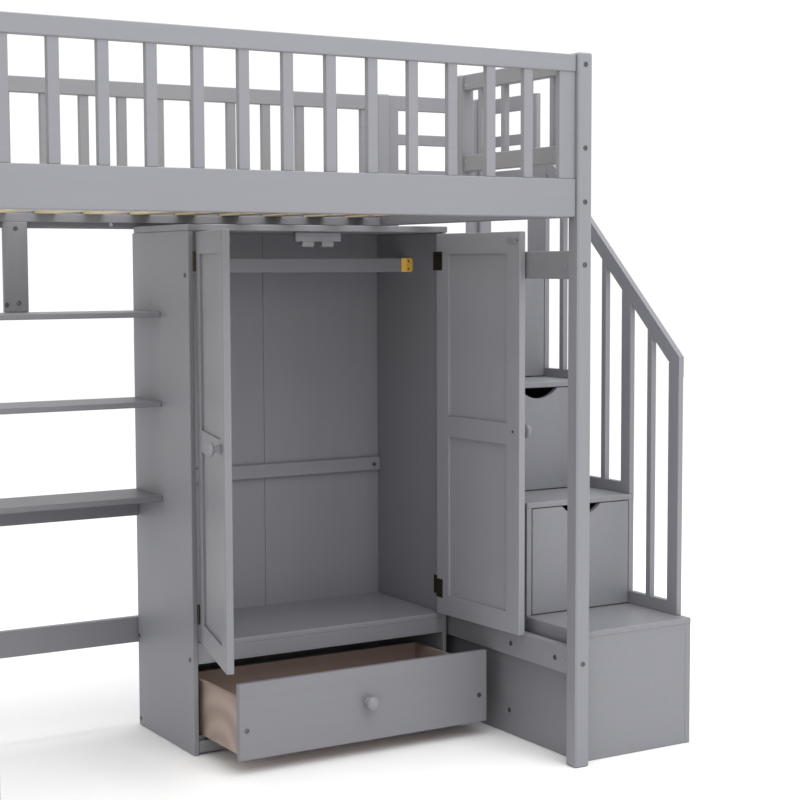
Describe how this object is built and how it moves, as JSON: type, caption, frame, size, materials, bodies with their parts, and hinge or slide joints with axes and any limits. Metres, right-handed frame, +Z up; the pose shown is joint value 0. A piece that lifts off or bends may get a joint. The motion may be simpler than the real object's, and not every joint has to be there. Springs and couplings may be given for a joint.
{
  "type": "loft bed",
  "caption": "Railed loft bed over a two-door wardrobe with a drawer, shelves and a corner desk, reached by a railed staircase of stacked drawer boxes.",
  "frame": {"origin": "middle of the footprint, on the floor", "axes": "+X along the bed towards the staircase, +Y from the front to the back, +Z up"},
  "size_m": [2.364, 1.072, 1.88],
  "materials": {
    "grey_paint": "satin grey paint over wood",
    "pine": "bare pine",
    "raw_wood": "bare sanded board",
    "bronze": "dark bronze",
    "steel": "dull steel of bolt heads, screws and catches",
    "zinc": "yellow zinc plate of the rail brackets"
  },
  "bodies": {
    "frame": {"beam_back": "grey_paint", "beam_front": "grey_paint", "beam_left": "grey_paint", "beam_right": "grey_paint", "catch_block": "grey_paint", "clothes_rail": "grey_paint", "desk_apron": "grey_paint", "desk_leg": "grey_paint", "desk_return": "grey_paint", "desk_top": "grey_paint", "guard_back": "grey_paint", "guard_front": "grey_paint", "guard_left": "grey_paint", "guard_right": "grey_paint", "handrail": "grey_paint", "hanging_board": "grey_paint", "hinge_left_lower_fixed": "bronze", "hinge_left_upper_fixed": "bronze", "hinge_right_lower_fixed": "bronze", "hinge_right_upper_fixed": "bronze", "kick_rail": "grey_paint", "post_back_left": "grey_paint", "post_back_right": "grey_paint", "post_front_left": "grey_paint", "post_front_right": "grey_paint", "shelf_end_board": "grey_paint", "shelf_middle": "grey_paint", "shelf_upper": "grey_paint", "slat_deck": "pine", "stair_guard_back": "grey_paint", "stair_guard_side": "grey_paint", "step_box_1": "grey_paint", "step_box_2": "grey_paint", "step_box_3": "grey_paint", "step_box_4": "grey_paint", "tie_back_low": "grey_paint", "tie_left_desk": "grey_paint", "tie_left_low": "grey_paint", "tie_right_high": "grey_paint", "tie_right_low": "grey_paint", "wardrobe_back": "grey_paint", "wardrobe_back_rail": "grey_paint", "wardrobe_floor": "grey_paint", "wardrobe_side_left": "grey_paint", "wardrobe_side_right": "grey_paint", "wardrobe_top": "grey_paint"},
    "door_left_leaf": {"door_left": "grey_paint", "knob_left": "grey_paint", "hinge_left_upper_leaf": "bronze", "hinge_left_lower_leaf": "bronze"},
    "door_right_leaf": {"door_right": "grey_paint", "knob_right": "grey_paint", "hinge_right_upper_leaf": "bronze", "hinge_right_lower_leaf": "bronze"},
    "wardrobe_drawer": {"drawer_front": "grey_paint", "drawer_box": "raw_wood", "drawer_knob": "grey_paint"},
    "stair_drawer_low": {"step_drawer_1": "grey_paint"},
    "stair_drawer_middle": {"step_drawer_2": "grey_paint"},
    "stair_drawer_high": {"step_drawer_3": "grey_paint"}
  },
  "joints": [
    {"name": "door_left_hinge", "type": "hinge", "parent": "frame", "child": "door_left_leaf", "pos_m": [-0.0417, 0.0982, 0.87], "axis": [0, 0, 1], "range_deg": [-60, 105]},
    {"name": "door_right_hinge", "type": "hinge", "parent": "frame", "child": "door_right_leaf", "pos_m": [0.7447, 0.0982, 0.87], "axis": [0, 0, 1], "range_deg": [-93.2, 0.5]},
    {"name": "wardrobe_drawer_slide", "type": "slide", "parent": "frame", "child": "wardrobe_drawer", "axis": [0, -1, 0], "range_m": [-0.2414, 0.04]},
    {"name": "stair_drawer_low_slide", "type": "slide", "parent": "frame", "child": "stair_drawer_low", "axis": [0, -1, 0], "range_m": [0, 0.3]},
    {"name": "stair_drawer_middle_slide", "type": "slide", "parent": "frame", "child": "stair_drawer_middle", "axis": [0, -1, 0], "range_m": [0, 0.3]},
    {"name": "stair_drawer_high_slide", "type": "slide", "parent": "frame", "child": "stair_drawer_high", "axis": [0, -1, 0], "range_m": [0, 0.25]}
  ]
}
